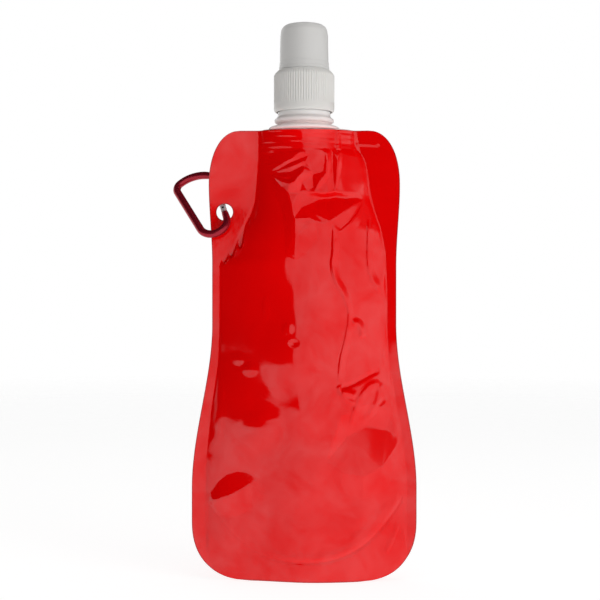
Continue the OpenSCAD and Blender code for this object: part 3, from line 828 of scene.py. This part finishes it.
FLANGE_Z = H + 0.4  # underside of the flange
NECK_H = 24.7
NECK_TOP = FLANGE_Z + NECK_H
BORE_R, SLEEVE_R, NECK_R = 10.4, 11.2, 12.5  # inside, outside within the foot, outside of the neck
FLANGE_R, BEAD_R, NECK_BASE_R = 17.8, 14.95, 13.2  # from below upwards, under the thread
THREAD_Z = FLANGE_Z + 14.4  # where the neck's thread begins


def build_foot():
    """The welded foot: a boat shape with ribs round it, and the bore through it."""
    rows = 29
    rings = []
    for k in range(rows):
        s = k / (rows - 1)
        inset = 0.30 - 0.30 * math.cos(s * 2 * math.pi * FOOT_RIBS) if 0 < k < rows - 1 else 0.8
        half = FOOT_W - 1.3 - 2 * inset
        xs = -np.cos(np.linspace(0, math.pi, 37)) * half
        ys = lens(xs, half + 1e-6, 11.25 - inset)
        ring = list(zip(xs, -ys)) + list(zip(xs[-2:0:-1], ys[-2:0:-1]))
        rings.append([(AX + 1.2 + x, y, H - FOOT_H + 10.45 * s) for x, y in ring])
    foot = tube("foot", rings)
    bore(foot, BORE_R + 0.2, 30, (AX, 0, H - FOOT_H / 2))
    return foot


def build_spout():
    prof = [(BORE_R, -9.9), (11, -10), (SLEEVE_R, -9.5), (SLEEVE_R, -0.35),
            (17.6, -0.3), (FLANGE_R, 0.2), (17.75, 0.7), (17, 1.2), (15, 1.75), (13.4, 2.2),
            (13, 2.8, 0.2), (14.5, 3.3), (BEAD_R, 4.1), (14.9, 5), (13.6, 6, 0.5), (NECK_BASE_R, 6.6),
            (NECK_BASE_R, 8.8), (NECK_R, 9.3), (NECK_R, NECK_H - 0.4), (12.1, NECK_H), (10.9, NECK_H),
            (BORE_R, NECK_H - 0.5), (BORE_R, -9.9)]
    body = lathe("body", rounded(prof, 0.35), FLANGE_Z)
    outside = thread("thread", NECK_R - 0.2, 13.65, 0.95, 0.45, THREAD_Z, 2)
    ob = join("spout_moulding", [body, outside, build_foot()])
    ob.data.set_sharp_from_angle(angle=math.radians(40))
    dress(ob, white_spout, "bag_upper", "spout")


build_spout()


# ---------- closure ----------

CAP_Z = FLANGE_Z + 8.7  # lower edge of the cap
DECK_Z = NECK_TOP + 1  # the cap's inside top, on the liner
TOP_Z = DECK_Z + 4.2  # top of the cap's shoulder
CAP_R, CAP_BORE_R = 15.2, 13.9  # outside and inside
COLLAR_R, TOWER_R = 10.9, 6.0  # where the cover and the nozzle sit
RIBS, RIB_DEPTH = 72, 0.13
RIB_LOW_Z, RIB_HIGH_Z = CAP_Z + 3.2, TOP_Z - 0.5
PLUG_Z = DECK_Z + 14.5  # the plug in the tower's mouth, on three spokes


def cap_profile():
    """The cap's section: side, shoulder, collar, tower and bore, in heights above its lower edge."""
    top, deck = TOP_Z - CAP_Z, DECK_Z - CAP_Z
    side = [(CAP_R, z, 0) for z in np.linspace(RIB_LOW_Z - CAP_Z - 0.3, top - 3.6, 16)]
    shoulder = [(15.2, top - 3, 0), (14.9, top - 2.3, 0), (14.4, top - 1.6, 0), (13.7, top - 0.9, 0),
                (13.1, top - 0.35, 0), (12.6, top, 0.1)]
    collar = [(COLLAR_R, top, 0.15), (COLLAR_R, top + 0.7), (COLLAR_R + 0.22, top + 1.1),
              (COLLAR_R, top + 1.5), (COLLAR_R, top + 2.2), (9.3, top + 2.2), (9.3, deck + 2, 0.3)]
    tower = [(TOWER_R, deck + 2, 0.3), (TOWER_R, deck + 15), (TOWER_R + 0.2, deck + 15.4),
             (TOWER_R, deck + 15.8), (TOWER_R, deck + 16.5), (4.4, deck + 16.5), (4.4, deck, 0.2)]
    mouth_r = CAP_BORE_R + 0.05
    seam = ((14 + mouth_r) / 2, 0.2)
    return ([seam, (14, 0), (14.5, 0), (15, 0.6), (CAP_R, 1.6)] + side + shoulder + collar + tower
            + [(CAP_BORE_R, deck, 0.4), (mouth_r, 0.5), seam])


def cap_ribs(r, z, angle):
    """Grooves between the ribs, on the side and the shoulder."""
    zone = step(z + CAP_Z, RIB_LOW_Z, RIB_LOW_Z + 1.6) * (1 - step(z + CAP_Z, RIB_HIGH_Z - 1.6, RIB_HIGH_Z))
    zone = zone * (r > 13) * (z > 4)
    return r - zone * RIB_DEPTH * (1 - np.clip(np.cos(angle * RIBS) * 1.4, -1, 1))


def build_cap():
    shell = lathe("shell", rounded(cap_profile(), 0.3), CAP_Z, RIBS * 10, cap_ribs, sharp=55)
    plug_profile = [(0.001, 0), (2.25, 0), (2.25, 6.4), (1.6, 7), (0.001, 7)]
    plug = lathe("plug", rounded(plug_profile), PLUG_Z, 48)
    spokes = []
    for k in range(3):
        a = k * 2 * math.pi / 3
        c, s = math.cos(a), math.sin(a)
        corners = [(1, -0.6), (5.4, -0.6), (5.4, 0.6), (1, 0.6)]
        spokes.append(tube("spoke", [[(AX + x * c - y * s, x * s + y * c, PLUG_Z + z) for x, y in corners]
                                     for z in (0, 1.9)]))
    inside = thread("thread_in", CAP_BORE_R + 0.2, 12.95, 0.85, 0.4, THREAD_Z - 1.59, 2)
    ob = join("ribbed_cap", [shell, plug, *spokes, inside])
    ob.data.set_sharp_from_angle(angle=math.radians(45))
    dress(ob, white_cap, "cap", "screw_cap")


def build_liner():
    prof = [(10.6, 0.5), (10.6, 0.03), (13.7, 0.03), (13.7, 0.97), (10.6, 0.97), (10.6, 0.5)]
    ob = lathe("liner_ring", rounded(prof, 0.15), NECK_TOP)
    dress(ob, foam, "liner", "cap_liner")


def build_nozzle():
    # up the outside, then down the inside past the recess that clears the tower's ring
    prof = [(6.2, 0.3), (6.5, 0), (8.1, 0), (8.5, 0.4), (8.5, 2.6), (8.1, 3), (7.5, 3.7),
            (7.3, 11.5), (7.6, 12.2), (8.6, 13), (8.8, 13.6), (8.8, 15.2), (8.3, 16.6), (7, 18.1),
            (5.2, 18.95), (4.4, 19.1), (2.9, 19.1), (2.35, 18.6), (2.33, 15.4), (6.06, 15.4), (6.06, 12.8),
            (6.3, 12.7), (6.3, 7.5), (6.06, 7.3), (6.06, 0.6), (6.2, 0.3)]
    ob = lathe("nozzle", rounded(prof, 0.3), TOP_Z - 0.9)
    dress(ob, white_nozzle, "nozzle", "pull_nozzle")


def cover_dome(width, height, first, last):
    """The cover's rounded shoulder, from one angle to another in steps of 10 degrees."""
    angles = np.radians(np.linspace(first, last, abs(last - first) // 10 + 1))
    return [(7.8 + width * math.cos(a), 18.6 + height * math.sin(a), 0) for a in angles]


def build_cover():
    top = 24.0
    outer = [(11.3, 0), (12.5, 0), (12.6, 0.3), (12.6, 1.3), (12.42, 1.6), (12.42, 3.5), (12.22, 3.9),
             (11.98, 17, 0), *cover_dome(3.95, 4.2, 0, 80),
             (7, top - 0.98, 0), (5, top - 0.5, 0), (2.5, top - 0.14, 0), (0.001, top, 0)]
    inner = [(0.001, top - 0.95, 0), (2.5, top - 1.07, 0), (5, top - 1.42, 0), (7, top - 1.88, 0),
             *cover_dome(3.1, 3.3, 70, 0),
             (10.95, 17, 0), (11.35, 3.2), (11.22, 2.6), (11.22, 0.3), (11.3, 0)]
    ob = lathe("dust_cover_shell", rounded(outer + inner, 0.3), TOP_Z + 0.05, 128, sharp=50)
    dress(ob, frosted, "cover", "dust_cover")


build_cap()
build_liner()
build_nozzle()
build_cover()


# ---------- carabiner ----------
# It is drawn in its own plane, with z along the gate from the pivot up, and then placed in the hole.

LEAN, TILT = math.radians(20), math.radians(35)  # to the left, and out of the film's plane
EX = np.array([math.cos(LEAN), 0, math.sin(LEAN)])
EY = np.array([math.sin(LEAN) * math.sin(TILT), math.cos(TILT), -math.cos(LEAN) * math.sin(TILT)])
EZ = np.array([-math.sin(LEAN) * math.cos(TILT), math.sin(TILT), math.cos(LEAN) * math.cos(TILT)])
HOLE = np.array([AX + HOLE_X, 0, HOLE_Z])
WIRE_R, WIRE_GATE_R = 1.95, 1.7  # the wire's radius, and next to the gate
BOW, BOW_R = np.array([-10.5, 13]), 16  # large bend at the upper end
FOOT, FOOT_R = np.array([-7.2, -3.6]), 7.2  # bend that hangs in the hole
CORNER_R, NOSE_R = 4.5, 4
SLOPE = math.radians(10.8)  # of the long side
NOSE_Z = BOW[1] + math.sqrt((BOW_R - NOSE_R) ** 2 - (BOW[0] + NOSE_R) ** 2)
PLATE_W, PLATE_T = 1.45, 0.6  # half width and half thickness of the tab and the hook


def placed(p):
    p = np.asarray(p, float)
    return HOLE + p[..., :1] * EX + p[..., 1:2] * EY + p[..., 2:3] * EZ


def arc(centre, r, a, b, n):
    """Points of an arc from angle a to b, each with its angle."""
    return [(centre[0] + r * math.cos(t), centre[1] + r * math.sin(t), t) for t in np.linspace(a, b, n)]


def wire_path():
    """The wire's middle line from the pivot round to the nose: (x, z, angle, share of its thickness)."""
    inwards = np.array([math.cos(SLOPE), math.sin(SLOPE)])
    upwards = np.array([-math.sin(SLOPE), math.cos(SLOPE)])
    start = FOOT - FOOT_R * inwards
    # the corner's bend touches the long side and, from inside, the bow
    near = start + CORNER_R * inwards - BOW
    back = near @ upwards
    rise = math.sqrt(back * back - (near @ near - (BOW_R - CORNER_R) ** 2)) - back
    corner = BOW + near + rise * upwards
    end = corner - CORNER_R * inwards
    bow_from = math.atan2(corner[1] - BOW[1], corner[0] - BOW[0])
    bow_to = math.acos(-(BOW[0] + NOSE_R) / (BOW_R - NOSE_R))
    line = arc(FOOT, FOOT_R, 0, SLOPE - math.pi, 44)
    line += [(*(start + (end - start) * k / 12), math.pi + SLOPE) for k in range(1, 12)]
    line += arc(corner, CORNER_R, math.pi + SLOPE, bow_from, 22)
    line += arc(BOW, BOW_R, bow_from, bow_to, 34)[1:]
    line += arc((-NOSE_R, NOSE_Z), NOSE_R, bow_to, 0, 14)[1:]
    return ([(0, -0.32, 0, 0.86), (0, -0.45, 0, 0.97), (0, -0.75, 0, 1), (0, -2.2, 0, 1)]
            + [(*p, 1) for p in line] + [(0, NOSE_Z - 0.15, 0, 0.97), (0, NOSE_Z - 0.3, 0, 0.86)])


def build_wire():
    rings = []
    for x, z, t, share in wire_path():
        from_gate = math.hypot(x, min(z, 0)) if z < NOSE_Z - 1 else math.hypot(x, z - NOSE_Z)
        r = share * mix(WIRE_GATE_R, WIRE_R, step(from_gate, 0.5, 6))
        around = [(r * math.cos(b), r * math.sin(b)) for b in np.arange(32) * 2 * math.pi / 32]
        rings.append([(x + p * math.cos(t), q, z + p * math.sin(t)) for p, q in around])
    return tube("wire", placed(rings), sharp=60)


def plate(name, outline):
    """A flat plate in the carabiner's plane."""
    rings = [[(x, y, z) for x, z in outline] for y in (-PLATE_T, PLATE_T)]
    return tube(name, placed(rings), smooth=False, sharp=None)


def build_carabiner():
    dome = [(PLATE_W * math.cos(a), 2 + PLATE_W * math.sin(a)) for a in np.linspace(math.pi, 0, 17)]
    tab = [(-PLATE_W, -1.2), *dome, (PLATE_W, -1.2)]
    latch = NOSE_Z - 2.2
    head = [(0.3, -0.75), (0.62, -0.62), (0.75, -0.3), (0.75, 0.3), (0.62, 0.62), (0.3, 0.75)]
    hook = [(-PLATE_W, NOSE_Z + 0.4), (PLATE_W, NOSE_Z + 0.4), (PLATE_W, latch - 1.6),
            (-PLATE_W, latch - 1.6), (-PLATE_W, latch - 0.75), *[(x, latch + z) for x, z in head],
            (-PLATE_W, latch + 0.75)]
    ob = join("carabiner_wire", [build_wire(), plate("tab", tab), plate("hook", hook)])
    ob.data.set_sharp_from_angle(angle=math.radians(50))
    dress(ob, red_metal, "carabiner", "carabiner_body")


def keep_node(name, material):
    """A CAD node that stays, with its material."""
    paint(nodes[name], material)


build_carabiner()
keep_node("carabiner_gate", gate_metal)
for name in ("gate_pivot_pin", "gate_latch_pin", "gate_spring", "gate_plunger"):
    keep_node(name, steel)


# ---------- stage, light and camera ----------

scene = bpy.context.scene
scene.view_settings.view_transform = "Standard"
scene.view_settings.look = "None"
scene.view_settings.exposure = 0
scene.view_settings.gamma = 1


def build_floor():
    """Pale paper that fades out far from the bottle and can't be seen from below."""
    bpy.ops.mesh.primitive_circle_add(vertices=96, radius=2.4, fill_type="NGON", location=(0, 0, -0.0002))
    floor = bpy.context.object
    floor.name = "floor"
    paper, nt, bs = node_material("floor_paper")
    distance = nt.nodes.new("ShaderNodeVectorMath")
    distance.operation = "LENGTH"
    nt.links.new(object_coord(nt), distance.inputs[0])
    fade = map_range(nt, distance.outputs["Value"], 0.75, 1.9, 1, 0)
    backface = nt.nodes.new("ShaderNodeNewGeometry").outputs["Backfacing"]
    put(nt, bs, {"Base Color": (0.34, 0.34, 0.34, 1), "Roughness": 0.9, "Specular IOR Level": 0.1,
                 "Emission Color": (1, 1, 1, 1), "Emission Strength": 0.86,
                 "Alpha": maths(nt, "MULTIPLY", fade, map_range(nt, backface, 0, 1, 1, 0))})
    floor.data.materials.append(paper)


def build_world():
    """White for the camera. What lights the bottle and shows in its film is a pale room with dark zones."""
    world = bpy.data.worlds.new("studio")
    scene.world = world
    world.use_nodes = True
    nt = world.node_tree
    nt.nodes.clear()
    direction = nt.nodes.new("ShaderNodeTexCoord").outputs["Generated"]
    parts = nt.nodes.new("ShaderNodeSeparateXYZ")
    nt.links.new(direction, parts.inputs[0])
    x, y, z = parts.outputs
    # which way a direction points: turned left from the camera's side of the bottle, and up
    left = maths(nt, "ARCTAN2", maths(nt, "MULTIPLY", x, -1), maths(nt, "MULTIPLY", y, -1))
    up = maths(nt, "ARCSINE", z)

    def edge(angle, a, b):  # a and b in degrees
        return map_range(nt, angle, math.radians(a), math.radians(b), kind="SMOOTHSTEP")

    def both(a, b):
        return maths(nt, "MULTIPLY", a, b)

    # the dark side ends at a floor line that climbs a little to the left
    climb = both(edge(left, 20, 60), math.radians(2.5))
    floor_line = edge(maths(nt, "SUBTRACT", up, climb), -7, -4)
    dark_side = both(both(edge(left, 7.5, 10), edge(left, 105, 92)), floor_line)
    dark_back = both(both(edge(left, -171, -168), edge(left, -112, -122)), edge(up, -6.5, -3.5))
    dark_top = edge(up, 26, 32)
    dark = maths(nt, "MAXIMUM", maths(nt, "MAXIMUM", dark_side, dark_back), dark_top)
    # a soft grey zone to the right, a little above the bottle, and clouds in the pale part
    grey = both(edge(left, -34, -52), both(edge(up, 7, 15), 0.85))
    cloud = nt.nodes.new("ShaderNodeTexNoise")
    put(nt, cloud, {"Scale": 2.6, "Detail": 3, "Vector": direction})
    clouds = map_range(nt, cloud.outputs["Fac"], 0.35, 0.65, 0.78, 1.2)
    pale = both(clouds, maths(nt, "SUBTRACT", 1, grey))
    mirrored = nt.nodes.new("ShaderNodeBackground")
    put(nt, mirrored, {"Color": (1, 0.995, 0.985, 1), "Strength": map_range(nt, dark, 0, 1, pale, 0.006)})
    plain = nt.nodes.new("ShaderNodeBackground")
    put(nt, plain, {"Color": (1, 1, 1, 1), "Strength": 1.0})
    choice = nt.nodes.new("ShaderNodeMixShader")
    to_camera = nt.nodes.new("ShaderNodeLightPath").outputs["Is Camera Ray"]
    put(nt, choice, {0: to_camera, 1: mirrored.outputs[0], 2: plain.outputs[0]})
    nt.links.new(choice.outputs[0], nt.nodes.new("ShaderNodeOutputWorld").inputs["Surface"])


def area_light(name, place, target, size, power):
    """A soft round light that the film doesn't mirror."""
    light = bpy.data.lights.new(name, "AREA")
    light.shape = "DISK"
    light.size = size
    light.energy = power
    ob = add_object(name, light)
    ob.location = place
    ob.rotation_euler = (Vector(target) - Vector(place)).to_track_quat("-Z", "Y").to_euler()
    ob.visible_glossy = False


def build_camera():
    """Straight in front, at the height of the bottle's middle."""
    lens_data = bpy.data.cameras.new("camera")
    lens_data.sensor_width = 36
    lens_data.lens = 83.5
    lens_data.clip_start = 0.01
    camera = add_object("camera", lens_data)
    camera.location = ((AX - 2.1) * MM, -0.7, 0.1403)
    camera.rotation_euler = (math.pi / 2, 0, 0)
    scene.camera = camera


build_floor()
build_world()
area_light("fill_right", (1, -1, 0.6), (0, 0, 0.14), 0.9, 5)
area_light("fill_top", (0.1, -0.1, 1.5), (0, 0, 0.1), 1.1, 6)
build_camera()

bpy.context.view_layer.update()
